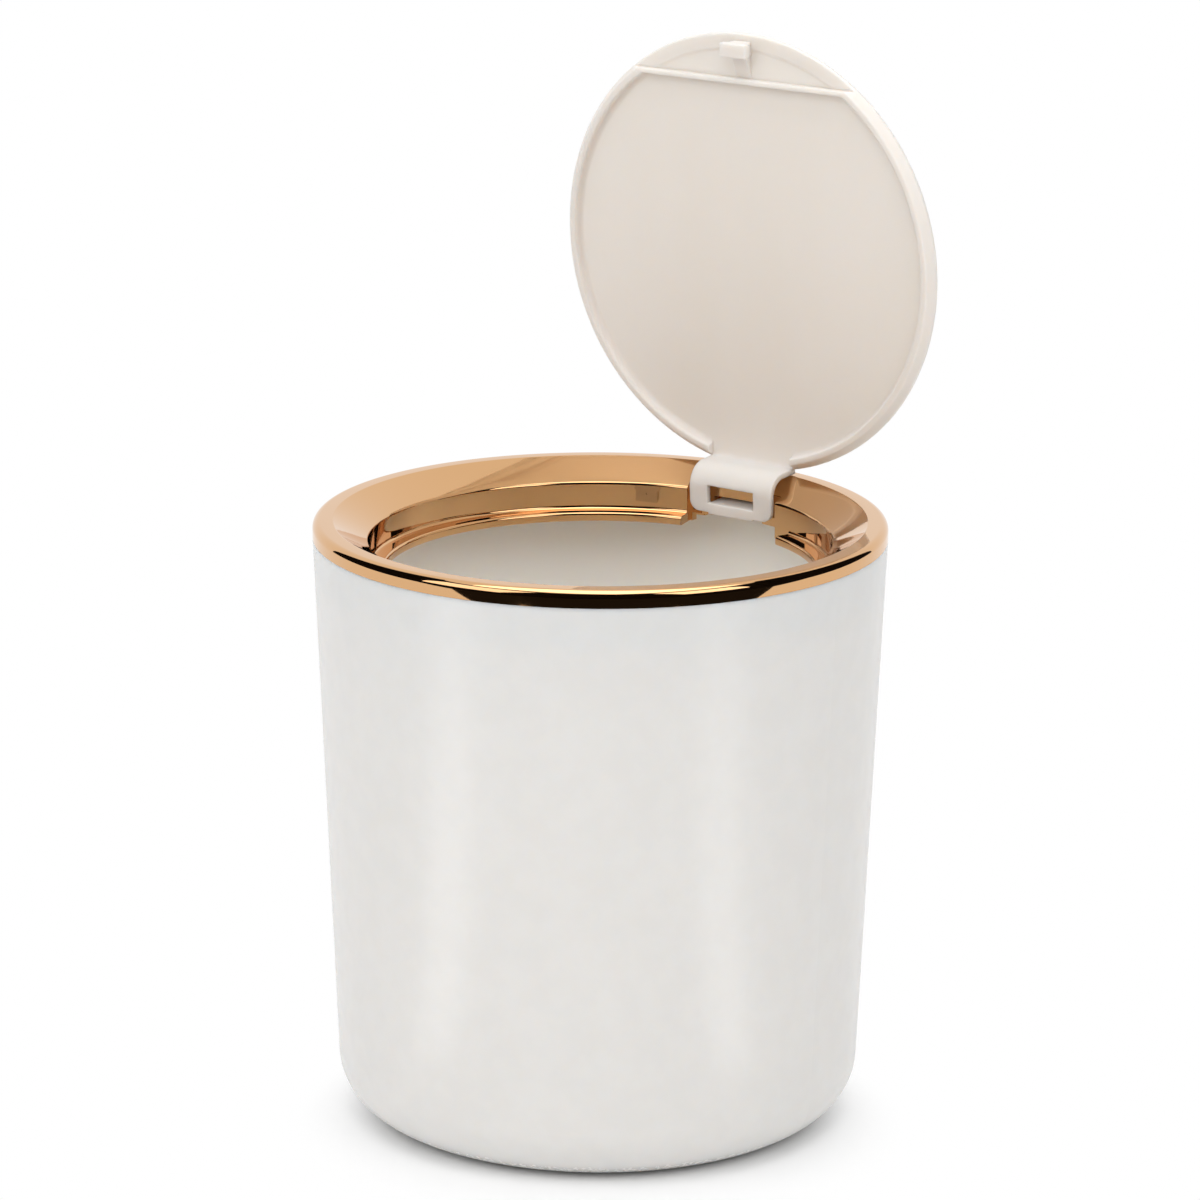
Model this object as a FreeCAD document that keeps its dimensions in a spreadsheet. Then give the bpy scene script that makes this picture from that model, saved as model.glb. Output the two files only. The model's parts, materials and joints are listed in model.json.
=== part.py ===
import FreeCAD, Part
import math
import os
from types import SimpleNamespace

import Sketcher
from FreeCAD import Vector

# A desktop bin with a press-open lid: a tapered can, a plated ring that plugs into it, and a flip lid on a
# concealed hinge at the back (+Y), with a push-push latch under the ring at the front (-Y).
# Millimetres. The origin is the centre of the base on the table, +Z is up. The lid is built shut, with its
# plate level, and then swung open about the hinge pin, which is how the object stands at rest.

doc = FreeCAD.newDocument("desktop_bin")

# Driving dimensions: name, value, meaning.
DRIVING = [
    ("can_height", "165.9", "table to the can's rim"),
    ("can_top_radius", "80", "outer radius at the rim"),
    ("can_taper", "6.9", "how much narrower the same cone is at the table"),
    ("can_wall", "1.8", "side wall"),
    ("can_floor", "2", "floor"),
    ("base_round", "16", "outer radius of the base edge"),
    ("foot_width", "7.5", "width of the flat foot that stands on the table"),
    ("foot_height", "1.2", "height of the hollow inside the foot"),
    ("rim_height", "4.7", "ring above the can's rim"),
    ("rim_round", "2.2", "outer top edge of the ring"),
    ("rim_flat", "5.45", "width of the ring's top, rounding included"),
    ("funnel_width", "9.95", "width of the sloping funnel inside it"),
    ("funnel_drop", "5.92", "height of the funnel"),
    ("recess_depth", "7.83", "height of the wall round the lid, down to the ledge"),
    ("lip_width", "4.6", "width of the ledge inside that wall"),
    ("lip_thick", "2.4", "thickness of the ledge"),
    ("ledge_round", "1.2", "round in the corner of the wall and the ledge"),
    ("ring_wall", "2", "thickness of the ring's shell"),
    ("ring_edge", "0.5", "rounding of the ring's crisp edges"),
    ("plug_depth", "12", "skirt of the ring inside the can"),
    ("plug_wall", "1.6", "thickness of the skirt"),
    ("plug_gap", "0.2", "clearance of the skirt in the can"),
    ("hinge_inset", "6.2", "hinge pin inside the can's outer radius"),
    ("hinge_drop", "9.84", "hinge pin below the ring's top"),
    ("open_angle", "86.43", "swing of the lid from level to open, degrees"),
    ("pin_radius", "1.25", "hinge pin"),
    ("pin_play", "0.05", "running clearance of the lid on the pin"),
    ("pin_grip", "0.01", "clearance of the pin in the ring's ears"),
    ("ear_thick", "2", "ears of the ring that hold the pin"),
    ("ear_round", "3", "ear below and behind the pin"),
    ("ear_gap", "0.35", "side gap between ear and lid boss"),
    ("lid_gap", "0.8", "gap round the lid in the recess"),
    ("lid_thick", "1.8", "plate of the lid"),
    ("lid_edge", "1.1", "rounding of the lid's top edge"),
    ("lid_rim_height", "2.2", "perimeter rim under the lid"),
    ("lid_rim_inset", "1.7", "that rim's face inside the lid's outline"),
    ("lid_rim_width", "2", "width of the rim's face"),
    ("floor_round", "1.5", "round in the corner of the lid's floor and its rim or arm"),
    ("front_rim_height", "0.4", "rim in front of the straight rib"),
    ("press_travel", "2.2", "rim above the ledge when the lid is latched"),
    ("rib_inset", "13.6", "straight rib behind the lid's front edge"),
    ("rib_width", "1.4", "straight rib"),
    ("hook_inset", "4.2", "hook behind the lid's front edge"),
    ("hook_height", "5.4", "hook below the lid's plate"),
    ("hook_head_width", "8.7", "cross bar of the hook"),
    ("hook_head_depth", "4", "cross bar of the hook, front to back"),
    ("hook_head_height", "2.2", "cross bar of the hook"),
    ("hook_neck_width", "5.6", "neck of the hook"),
    ("gusset_width", "5", "web from the hook to the straight rib"),
    ("gusset_height", "2.6", "that web at the hook"),
    ("arm_width", "28.4", "hinge arm"),
    ("arm_thick", "1.7", "plate of the hinge arm"),
    ("arm_drop", "11.4", "outer face of the arm's plate from the pin"),
    ("arm_setback", "0.2", "arm's riser inside the lid's outline"),
    ("arm_bend", "6.5", "outer radius of the arm's bend"),
    ("arm_tail", "1.46", "end of the arm's legs past the pin"),
    ("arm_corner", "3", "rounded corners of the legs"),
    ("window_width", "16.2", "window in the arm"),
    ("window_height", "5.3", "window in the arm"),
    ("tongue_width", "15.5", "tongue that carries the pin boss"),
    ("tongue_inset", "1.24", "tongue's face before the pin"),
    ("boss_radius", "3", "boss round the pin"),
    ("pocket_gap", "1.1", "side gap of the arm in the ring's pocket"),
    ("pocket_relief", "2.3", "pocket's back behind the recess wall"),
    ("pin_room", "7", "further gap in the ledge, on the side where the hinge pin goes in"),
    ("slot_gap", "0.65", "gap round the tongue in its slot"),
    ("skirt_notch", "34", "gap in the skirt at the hinge"),
    ("spring_wire", "0.8", "lid spring's wire"),
    ("spring_radius", "2.4", "lid spring's mean coil radius"),
    ("spring_pitch", "1.25", "lid spring's pitch"),
    ("spring_leg", "6.6", "lid spring's leg under the tongue"),
    ("spring_seat", "0.04", "gap where a spring leg bears"),
    ("spring_room", "0.8", "gap round the lid spring's coil"),
    ("slider_width", "13.2", "latch slider"),
    ("slider_depth", "6", "latch slider, front to back"),
    ("slider_height", "12", "latch slider below its cradle"),
    ("slider_gap", "0.25", "clearance round the slider"),
    ("slider_travel", "3", "stroke of the slider"),
    ("cradle_drop", "0.4", "cradle below the hook when the lid is pressed"),
    ("jaw_height", "3.6", "jaws beside the hook"),
    ("jaw_thick", "1.5", "jaws beside the hook"),
    ("jaw_gap", "0.5", "gap between jaw and hook"),
    ("latch_wall", "1.5", "latch housing"),
    ("latch_floor", "2", "latch housing's floor"),
    ("flange_thick", "2", "latch flange under the ring"),
    ("flange_width", "29.6", "latch flange"),
    ("flange_margin", "2.8", "flange past the screws"),
    ("cover_thick", "2.2", "latch cover"),
    ("cover_tab", "4", "length of the cover's side tabs"),
    ("cover_tab_height", "6", "height of the cover's side tabs"),
    ("cover_tab_thick", "1.1", "thickness of the cover's side tabs"),
    ("snap_gap", "0.05", "clearance of the cover's side tabs"),
    ("wire_radius", "0.5", "latch cam pin's wire"),
    ("wire_bend", "0.65", "bends of the cam pin"),
    ("wire_play", "0.08", "clearance of the cam pin in the cover"),
    ("wire_reach", "10", "cam pin from pivot to tip"),
    ("wire_tilt", "8", "cam pin's lean at rest, degrees"),
    ("wire_groove_depth", "1.3", "room for the cam pin in the cover"),
    ("track_depth", "1.3", "cam track in the slider"),
    ("track_width", "4.8", "cam track"),
    ("track_margin", "0.95", "track past the cam pin's tip at either end of the stroke"),
    ("coil_wire", "0.5", "latch spring's wire"),
    ("coil_radius", "2.05", "latch spring's mean coil radius"),
    ("coil_room", "0.3", "gap round the latch spring"),
    ("coil_length", "11", "latch spring, slider up"),
    ("coil_well", "4", "depth of the slider's well for that spring"),
    ("screw_radius", "1.1", "latch screws' shank"),
    ("screw_length", "9", "latch screws' shank"),
    ("screw_head_radius", "2.2", "latch screws' head"),
    ("screw_head_height", "1.6", "latch screws' head"),
    ("screw_spread", "24", "distance between the two screws"),
    ("screw_inset", "8.8", "screws inside the can's outer radius"),
    ("screw_play", "0.2", "clearance of a screw in the flange"),
    ("screw_grip", "0.02", "clearance of a screw in its boss"),
    ("screw_boss_radius", "2.6", "boss for a screw"),
    ("overrun", "1", "how far a cut runs past what it cuts"),
]
SPRING_TURNS = 4
COIL_TURNS = 7
# Edges and places count as the same within this distance, in millimetres.
SAME = 1e-4

sheet = doc.addObject("Spreadsheet::Sheet", "sizes")
for row, (alias, number, meaning) in enumerate(DRIVING, start=1):
    sheet.set(f"A{row}", alias)
    sheet.set(f"B{row}", number)
    sheet.set(f"C{row}", meaning)
    sheet.setAlias(f"B{row}", alias)
doc.recompute()


class Size:
    """A length or angle worked out from the sheet, with its value now and the expression that gives it."""

    def __init__(self, value, text):
        self.value = float(value)
        self.text = text

    def __add__(self, other):
        other = as_size(other)
        return Size(self.value + other.value, f"({self.text} + {other.text})")

    def __sub__(self, other):
        other = as_size(other)
        return Size(self.value - other.value, f"({self.text} - {other.text})")

    def __mul__(self, other):
        other = as_size(other)
        return Size(self.value * other.value, f"({self.text} * {other.text})")

    def __truediv__(self, other):
        other = as_size(other)
        return Size(self.value / other.value, f"({self.text} / {other.text})")

    def __neg__(self):
        return Size(-self.value, f"(0 - {self.text})")


def as_size(number):
    return number if isinstance(number, Size) else Size(number, str(number))


def turn_to(across, out):
    """Angle in degrees, about the can's axis, of a point so far across at so far out."""
    return Size(math.degrees(math.atan2(across.value, out.value)), f"atan({across.text} / {out.text})")


d = SimpleNamespace(**{alias: Size(sheet.get(alias), f"sizes.{alias}") for alias, _, _ in DRIVING})
ZERO = Size(0, "0")

# Radii, distances from the can's axis, and heights that several pieces share.
can_base_radius = d.can_top_radius - d.can_taper
funnel_top_radius = d.can_top_radius - d.rim_flat
recess_radius = funnel_top_radius - d.funnel_width
lip_radius = recess_radius - d.lip_width
hinge_reach = d.can_top_radius - d.hinge_inset
lid_radius = recess_radius - d.lid_gap
lid_rim_outer = lid_radius - d.lid_rim_inset
lid_rim_inner = lid_rim_outer - d.lid_rim_width
rib_distance = lid_radius - d.rib_inset
hook_distance = lid_radius - d.hook_inset
screw_reach = d.can_top_radius - d.screw_inset
flange_reach = screw_reach + d.flange_margin
can_slope = d.can_taper / d.can_height
foot_outer = can_base_radius - d.base_round
foot_inner = foot_outer - d.foot_width
floor_top = d.foot_height + d.can_floor
rim_top = d.can_height + d.rim_height
recess_top = rim_top - d.funnel_drop
ledge_top = recess_top - d.recess_depth
lip_bottom = ledge_top - d.lip_thick
funnel_slope = d.funnel_drop / d.funnel_width
hinge_height = rim_top - d.hinge_drop
lid_floor = ledge_top + d.lid_rim_height + d.press_travel
lid_top = lid_floor + d.lid_thick
arm_bottom = hinge_height - d.arm_drop
arm_inside = arm_bottom + d.arm_thick
riser_outer = lid_radius - d.arm_setback
riser_inner = riser_outer - d.arm_thick
tongue_front = hinge_reach - d.tongue_inset
tongue_back = hinge_reach + d.spring_radius - d.spring_wire / 2 - d.spring_seat
pocket_half = d.arm_width / 2 + d.pocket_gap
pocket_back = recess_radius + d.pocket_relief
notch_top = d.can_height - d.ring_edge
spring_slot_half = d.spring_pitch * (SPRING_TURNS + 1) / 2 + d.spring_wire / 2
# The press turns the lid past level until its rim meets the ledge at the straight rib.
press_drop = d.press_travel * (hinge_reach + hook_distance) / (hinge_reach + rib_distance)
cradle_top = lid_floor - d.hook_height - press_drop - d.cradle_drop
slider_bottom = cradle_top - d.slider_height
slider_front = -hook_distance - d.slider_depth / 2
slider_back = -hook_distance + d.slider_depth / 2
cover_front = slider_back + d.slider_gap
cover_back = cover_front + d.cover_thick
cavity_half = d.slider_width / 2 + d.slider_gap
housing_half = cavity_half + d.latch_wall
housing_front = slider_front - d.slider_gap - d.latch_wall
coil_top = slider_bottom + d.coil_well
housing_floor = coil_top - d.coil_length
housing_bottom = housing_floor - d.latch_floor
wire_pivot = cradle_top - d.slider_height / 2 - d.wire_reach
wire_tip = wire_pivot + d.wire_reach
screw_seat = lip_bottom - d.flange_thick


def can_inside(height):
    """Radius of the can's inner wall at a height."""
    return d.can_top_radius - d.can_wall - can_slope * (d.can_height - height)


def funnel_height(radius):
    """Height of the funnel's upper surface at a radius."""
    return recess_top + funnel_slope * (radius - recess_radius)


def new_body(label):
    body = doc.addObject("PartDesign::Body", label)
    body.Label = label
    return body


def new_sketch(body, name, plane, lift=None):
    """A sketch on one of the body's own origin planes, lifted along the plane's normal."""
    sketch = body.newObject("Sketcher::SketchObject", f"{body.Name}_{name}")
    support = next(feature for feature in body.Origin.OriginFeatures if feature.Role == plane)
    sketch.AttachmentSupport = [(support, "")]
    sketch.MapMode = "FlatFace"
    if lift is not None:
        sketch.setExpression("AttachmentOffset.Base.z", lift.text)
    return sketch


def pin_down(sketch, curve, end, across, up):
    """Fixes a point of a sketch at its two distances from the sketch's origin."""
    for kind, axis, distance in (("DistanceX", -2, across), ("DistanceY", -1, up)):
        if distance is ZERO:
            sketch.addConstraint(Sketcher.Constraint("PointOnObject", curve, end, axis))
            continue
        index = sketch.addConstraint(Sketcher.Constraint(kind, -1, 1, curve, end, distance.value))
        sketch.setExpression(f"Constraints[{index}]", distance.text)


def outline(sketch, points):
    """A closed outline of straight lines."""
    corners = [Vector(across.value, up.value, 0) for across, up in points]
    first = sketch.GeometryCount
    for start, end in zip(corners, corners[1:] + corners[:1]):
        sketch.addGeometry(Part.LineSegment(start, end), False)
    count = len(points)
    for step in range(count):
        after = first + (step + 1) % count
        sketch.addConstraint(Sketcher.Constraint("Coincident", first + step, 2, after, 1))
    for step, (across, up) in enumerate(points):
        pin_down(sketch, first + step, 1, across, up)
    return sketch


def rectangle(sketch, left, low, right, high):
    return outline(sketch, [(left, low), (right, low), (right, high), (left, high)])


def circle(sketch, across, up, radius):
    centre = Vector(across.value, up.value, 0)
    curve = sketch.addGeometry(Part.Circle(centre, Vector(0, 0, 1), radius.value), False)
    pin_down(sketch, curve, 3, across, up)
    index = sketch.addConstraint(Sketcher.Constraint("Radius", curve, radius.value))
    sketch.setExpression(f"Constraints[{index}]", radius.text)
    return sketch


def extrude(body, kind, sketch, length, both_ways=False, backwards=False):
    """A Pad or Pocket of a sketch."""
    feature = body.newObject(f"PartDesign::{kind}", f"{sketch.Name}_{kind.lower()}")
    feature.Profile = sketch
    feature.setExpression("Length", length.text)
    feature.Midplane = both_ways
    feature.Reversed = backwards
    doc.recompute()
    return feature


def revolve(body, sketch, kind="Revolution", half_turn=None, one_way=False):
    """A Revolution or Groove about the can's axis: all round, or so far to either side or to one."""
    feature = body.newObject(f"PartDesign::{kind}", f"{sketch.Name}_{kind.lower()}")
    feature.Profile = sketch
    feature.ReferenceAxis = (sketch, ["V_Axis"])
    if half_turn is None:
        feature.Angle = 360
    elif one_way:
        feature.Reversed = True
        feature.setExpression("Angle", half_turn.text)
    else:
        feature.Midplane = True
        feature.setExpression("Angle", f"{half_turn.text} * 2")
    doc.recompute()
    return feature


def fillet(body, name, edges, radius):
    """Rounds the edges of the body's shape that a test picks."""
    chosen = [f"Edge{i}" for i, edge in enumerate(body.Shape.Edges, start=1) if edges(edge)]
    assert chosen, f"no edge to round for {name}"
    base = body.Tip
    feature = body.newObject("PartDesign::Fillet", f"{body.Name}_{name}")
    feature.Base = (base, chosen)
    feature.setExpression("Radius", radius.text)
    doc.recompute()
    return feature


def hoop(*rings):
    """Picks circular edges about the can's axis, each ring being a radius and a height."""
    def test(edge):
        box = edge.BoundBox
        return any(
            abs(box.XMax - radius.value) < SAME and abs(box.ZMin - height.value) < SAME
            and abs(box.ZMax - height.value) < SAME
            for radius, height in rings
        )
    return test


def straight(axis, **places):
    """Picks straight edges along an axis, by the other two coordinates of their middle."""
    def test(edge):
        if edge.Curve.TypeId != "Part::GeomLine":
            return False
        middle = edge.CenterOfMass
        along = abs(getattr(edge.tangentAt(edge.FirstParameter), axis)) > 1 - SAME
        return along and all(abs(abs(getattr(middle, k)) - abs(v.value)) < SAME for k, v in places.items())
    return test


def make_can():
    body = new_body("can_body")
    profile = outline(new_sketch(body, "profile", "XZ_Plane"), [
        (ZERO, d.foot_height),
        (foot_inner, d.foot_height),
        (foot_inner, ZERO),
        (can_base_radius, ZERO),
        (d.can_top_radius, d.can_height),
        (d.can_top_radius - d.can_wall, d.can_height),
        (can_inside(floor_top), floor_top),
        (ZERO, floor_top),
    ])
    revolve(body, profile)
    fillet(body, "base_edge", hoop((can_base_radius, ZERO)), d.base_round)
    fillet(body, "inner_edge", hoop((can_inside(floor_top), floor_top)), d.base_round - d.can_wall)
    return body


def make_ring():
    body = new_body("rim_ring")
    plug_bottom = d.can_height - d.plug_depth
    shell_under = rim_top - d.ring_wall
    wall_back = recess_radius + d.ring_wall
    # Vertical thickness of the sloping funnel, a shell of the same thickness as the rest.
    steepness = Size(math.hypot(1, funnel_slope.value), f"sqrt(1 + {funnel_slope.text} ^ 2)")
    funnel_thick = d.ring_wall * steepness
    under_top = recess_radius + (shell_under + funnel_thick - recess_top) / funnel_slope
    plug_face = {height: can_inside(height) - d.plug_gap for height in (plug_bottom, d.can_height)}
    profile = outline(new_sketch(body, "profile", "XZ_Plane"), [
        (d.can_top_radius, d.can_height),
        (d.can_top_radius, rim_top),
        (funnel_top_radius, rim_top),
        (recess_radius, recess_top),
        (recess_radius, ledge_top),
        (lip_radius, ledge_top),
        (lip_radius, lip_bottom),
        (wall_back, lip_bottom),
        (wall_back, funnel_height(wall_back) - funnel_thick),
        (under_top, shell_under),
        (plug_face[d.can_height] - d.plug_wall, shell_under),
        (plug_face[plug_bottom] - d.plug_wall, plug_bottom),
        (plug_face[plug_bottom], plug_bottom),
        (plug_face[d.can_height], d.can_height),
    ])
    revolve(body, profile)
    fillet(body, "rim_edge", hoop((d.can_top_radius, rim_top)), d.rim_round)
    fillet(body, "crisp_edges", hoop(
        (funnel_top_radius, rim_top), (recess_radius, recess_top), (lip_radius, ledge_top),
        (lip_radius, lip_bottom),
    ), d.ring_edge)
    fillet(body, "ledge_corner", hoop((recess_radius, ledge_top)), d.ledge_round)

    # The skirt leaves room for the hinge.
    notch_half = d.skirt_notch / 2
    notch = rectangle(new_sketch(body, "skirt_notch", "XY_Plane", notch_top),
                      -notch_half, hinge_reach, notch_half, d.can_top_radius + d.overrun)
    extrude(body, "Pocket", notch, d.plug_depth + d.overrun)

    # The recess wall stands further back behind the hinge arm, its top sunk into the funnel.
    pocket_turn = turn_to(pocket_half, riser_inner)
    setback_front = recess_radius + d.ring_wall / 2
    setback_back = pocket_back + d.ring_wall
    setback = outline(new_sketch(body, "set_back_wall", "YZ_Plane"), [
        (setback_front, lip_bottom),
        (setback_back, lip_bottom),
        (setback_back, funnel_height(setback_back) - funnel_thick / 2),
        (setback_front, funnel_height(setback_front) - funnel_thick / 2),
    ])
    revolve(body, setback, half_turn=turn_to(pocket_half + d.ring_wall, riser_inner))

    # Two ears carry the hinge pin.
    ear_inner = d.tongue_width / 2 + d.ear_gap
    ear_front = hinge_reach - d.ear_round
    ear_back = hinge_reach + d.ear_round - d.ring_edge
    for side, lift in (("left", -ear_inner - d.ear_thick), ("right", ear_inner)):
        ear = outline(new_sketch(body, f"{side}_ear", "YZ_Plane", lift), [
            (ear_front, hinge_height - d.ear_round),
            (ear_back, hinge_height - d.ear_round),
            (ear_back, rim_top - d.ring_wall / 2),
            (funnel_top_radius, rim_top - d.ring_wall / 2),
            (ear_front, funnel_height(ear_front) - funnel_thick / 2),
        ])
        extrude(body, "Pad", ear, d.ear_thick)

    # A rib stops the fixed leg of the lid spring.
    leg_face = hinge_reach + d.spring_radius - d.spring_wire / 2 - d.spring_seat
    stop = rectangle(new_sketch(body, "spring_stop", "YZ_Plane"),
                     leg_face - d.ring_wall, hinge_height + d.spring_radius + d.spring_wire,
                     leg_face, rim_top - d.ring_wall / 2)
    extrude(body, "Pad", stop, (spring_slot_half - d.slot_gap) * 2, both_ways=True)

    # Bosses for the latch screws, sunk into the funnel.
    boss_inside = screw_reach - d.screw_boss_radius
    boss_height = funnel_height(boss_inside) - funnel_thick / 2 - lip_bottom
    for side, across in (("left", -d.screw_spread / 2), ("right", d.screw_spread / 2)):
        boss = circle(new_sketch(body, f"{side}_boss", "XY_Plane", lip_bottom),
                      across, -screw_reach, d.screw_boss_radius)
        extrude(body, "Pad", boss, boss_height)
        pilot = circle(new_sketch(body, f"{side}_pilot", "XY_Plane", lip_bottom),
                       across, -screw_reach, d.screw_radius + d.screw_grip)
        extrude(body, "Pocket", pilot, d.screw_length - d.flange_thick + d.overrun, backwards=True)

    # The pocket that the arm swings through: the lip, the wall and the funnel's foot are cut away there.
    pocket = rectangle(new_sketch(body, "arm_pocket", "YZ_Plane"),
                       lip_radius - d.ring_wall, lip_bottom - d.overrun, pocket_back, rim_top)
    revolve(body, pocket, "Groove", pocket_turn)
    # The ledge opens further on the side where the hinge pin goes in.
    door = rectangle(new_sketch(body, "pin_door", "YZ_Plane"), lip_radius - d.ring_wall,
                     lip_bottom - d.overrun, recess_radius, ledge_top + d.ledge_round)
    revolve(body, door, "Groove", turn_to(pocket_half + d.pin_room, riser_inner), one_way=True)
    # Below it the wall opens too, with a taller slot for the tongue.
    slot_half = d.tongue_width / 2 + d.slot_gap
    slot_top = hinge_height + d.tongue_inset + d.slot_gap
    gate_low = lip_bottom - d.overrun
    gate = outline(new_sketch(body, "gate", "XZ_Plane", d.ring_wall - pocket_back), [
        (-pocket_half, gate_low),
        (pocket_half, gate_low),
        (pocket_half, ledge_top),
        (slot_half, ledge_top),
        (slot_half, slot_top),
        (-slot_half, slot_top),
        (-slot_half, ledge_top),
        (-pocket_half, ledge_top),
    ])
    extrude(body, "Pocket", gate, d.ring_wall * 2 + d.overrun)

    bore = circle(new_sketch(body, "pin_bore", "YZ_Plane"),
                  hinge_reach, hinge_height, d.pin_radius + d.pin_grip)
    extrude(body, "Pocket", bore, (ear_inner + d.ear_thick + d.overrun) * 2, both_ways=True)

    # The ledge opens where the latch's jaws come up.
    jaw_room = d.hook_head_width / 2 + d.jaw_gap + d.jaw_thick + d.slot_gap
    jaws = rectangle(new_sketch(body, "jaw_notch", "XY_Plane", ledge_top + d.overrun),
                     -jaw_room, slider_front - d.slot_gap, jaw_room, slider_back)
    extrude(body, "Pocket", jaws, d.lip_thick + d.overrun * 2)
    return body


def make_hinge_pin():
    body = new_body("hinge_pin")
    length = d.tongue_width + d.ear_gap * 2 + d.ear_thick * 2
    section = circle(new_sketch(body, "section", "YZ_Plane"), hinge_reach, hinge_height, d.pin_radius)
    extrude(body, "Pad", section, length, both_ways=True)
    return body


def make_lid():
    body = new_body("lid")
    rim_face = lid_floor - d.lid_rim_height
    profile = outline(new_sketch(body, "profile", "XZ_Plane"), [
        (ZERO, lid_floor),
        (lid_rim_inner, lid_floor),
        (lid_rim_inner, rim_face),
        (lid_rim_outer, rim_face),
        (lid_radius, lid_floor),
        (lid_radius, lid_top),
        (ZERO, lid_top),
    ])
    revolve(body, profile)
    fillet(body, "top_edge", hoop((lid_radius, lid_top)), d.lid_edge)
    fillet(body, "rim_edges", hoop((lid_rim_outer, rim_face), (lid_rim_inner, rim_face)), d.ring_edge)
    fillet(body, "floor_corner", hoop((lid_rim_inner, lid_floor)), d.floor_round)

    # In front of the straight rib the rim is lower.
    rib_front = -rib_distance - d.rib_width / 2
    rib_back = -rib_distance + d.rib_width / 2
    low = rectangle(new_sketch(body, "low_rim", "XY_Plane", lid_floor - d.front_rim_height),
                    -lid_radius, -lid_radius, lid_radius, rib_front)
    extrude(body, "Pocket", low, d.lid_rim_height)
    rim_middle = (lid_rim_inner + lid_rim_outer) / 2
    rib_half = Size(math.sqrt(rim_middle.value ** 2 - rib_distance.value ** 2),
                    f"sqrt({rim_middle.text} ^ 2 - {rib_distance.text} ^ 2)")
    rib = rectangle(new_sketch(body, "straight_rib", "XY_Plane", rim_face),
                    -rib_half, rib_front, rib_half, rib_back)
    extrude(body, "Pad", rib, d.lid_rim_height + d.lid_thick / 2)

    # The hook: a web from the straight rib, a neck and a cross bar.
    hook_front = -hook_distance - d.hook_head_depth / 2
    hook_back = -hook_distance + d.hook_head_depth / 2
    hook_tip = lid_floor - d.hook_height
    inside = lid_floor + d.lid_thick / 2
    neck = outline(new_sketch(body, "hook_neck", "YZ_Plane"), [
        (hook_front, hook_tip), (hook_back, hook_tip), (hook_back, inside), (hook_front, inside),
    ])
    extrude(body, "Pad", neck, d.hook_neck_width, both_ways=True)
    head = rectangle(new_sketch(body, "hook_head", "YZ_Plane"),
                     hook_front, hook_tip, hook_back, hook_tip + d.hook_head_height)
    extrude(body, "Pad", head, d.hook_head_width, both_ways=True)
    web = outline(new_sketch(body, "gusset", "YZ_Plane"), [
        (hook_back - d.overrun, lid_floor - d.gusset_height),
        (hook_back, lid_floor - d.gusset_height),
        (rib_front, lid_floor),
        (rib_front, inside),
        (hook_back - d.overrun, inside),
    ])
    extrude(body, "Pad", web, d.gusset_width, both_ways=True)

    # The hinge arm: a riser where the rim stops, and a plate with a window under the ring.
    gap_front = lid_rim_inner - d.arm_corner - d.floor_round
    arm_gap = rectangle(new_sketch(body, "arm_gap", "XY_Plane", lid_floor),
                        -d.arm_width / 2, gap_front, d.arm_width / 2, lid_radius)
    extrude(body, "Pocket", arm_gap, d.lid_rim_height + d.overrun)
    leg_end = hinge_reach + d.arm_tail
    arm = outline(new_sketch(body, "arm", "YZ_Plane"), [
        (riser_inner, inside),
        (riser_inner, arm_bottom),
        (leg_end, arm_bottom),
        (leg_end, arm_inside),
        (riser_outer, arm_inside),
        (riser_outer, inside),
    ])
    extrude(body, "Pad", arm, d.arm_width, both_ways=True)
    fillet(body, "outer_bend", straight("x", y=riser_inner, z=arm_bottom), d.arm_bend)
    fillet(body, "inner_bend", straight("x", y=riser_outer, z=arm_inside), d.arm_bend - d.arm_thick)
    fillet(body, "leg_corners", straight("z", x=d.arm_width / 2, y=leg_end), d.arm_corner)
    # A round fills the corner between the riser and the lid's underside.
    root_front = riser_inner - d.floor_round
    root_low = lid_floor - d.floor_round
    root = rectangle(new_sketch(body, "arm_root", "YZ_Plane"), root_front, root_low, riser_outer, inside)
    extrude(body, "Pad", root, d.arm_width, both_ways=True)
    hollow = circle(new_sketch(body, "root_round", "YZ_Plane"), root_front, root_low, d.floor_round)
    extrude(body, "Pocket", hollow, d.arm_width, both_ways=True)
    window = rectangle(new_sketch(body, "window", "XY_Plane", arm_inside + d.overrun),
                       -d.window_width / 2, tongue_front - d.window_height, d.window_width / 2, tongue_front)
    extrude(body, "Pocket", window, d.arm_thick + d.overrun * 2)

    # The tongue goes up from the plate to the pin, with a fork for the spring.
    tongue = rectangle(new_sketch(body, "tongue", "YZ_Plane"),
                       tongue_front, arm_bottom, tongue_back, hinge_height)
    extrude(body, "Pad", tongue, d.tongue_width, both_ways=True)
    boss = circle(new_sketch(body, "boss", "YZ_Plane"), hinge_reach, hinge_height, d.boss_radius)
    extrude(body, "Pad", boss, d.tongue_width, both_ways=True)
    coil_room = d.spring_radius + d.spring_wire / 2 + d.spring_room
    fork = rectangle(new_sketch(body, "fork", "YZ_Plane"),
                     hinge_reach - coil_room, hinge_height - coil_room,
                     hinge_reach + coil_room, hinge_height + coil_room)
    extrude(body, "Pocket", fork, spring_slot_half * 2, both_ways=True)
    bore = circle(new_sketch(body, "bore", "YZ_Plane"), hinge_reach, hinge_height, d.pin_radius + d.pin_play)
    extrude(body, "Pocket", bore, d.tongue_width + d.overrun * 2, both_ways=True)

    # At rest the lid stands open.
    turn = f"rotation(vector(1; 0; 0); 0 - {d.open_angle.text})"
    hinge = f"vector(0; {hinge_reach.text}; {hinge_height.text})"
    body.setExpression("Placement", f"placement(vector(0; 0; 0); {turn}; {hinge})")
    doc.recompute()
    return body


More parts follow.
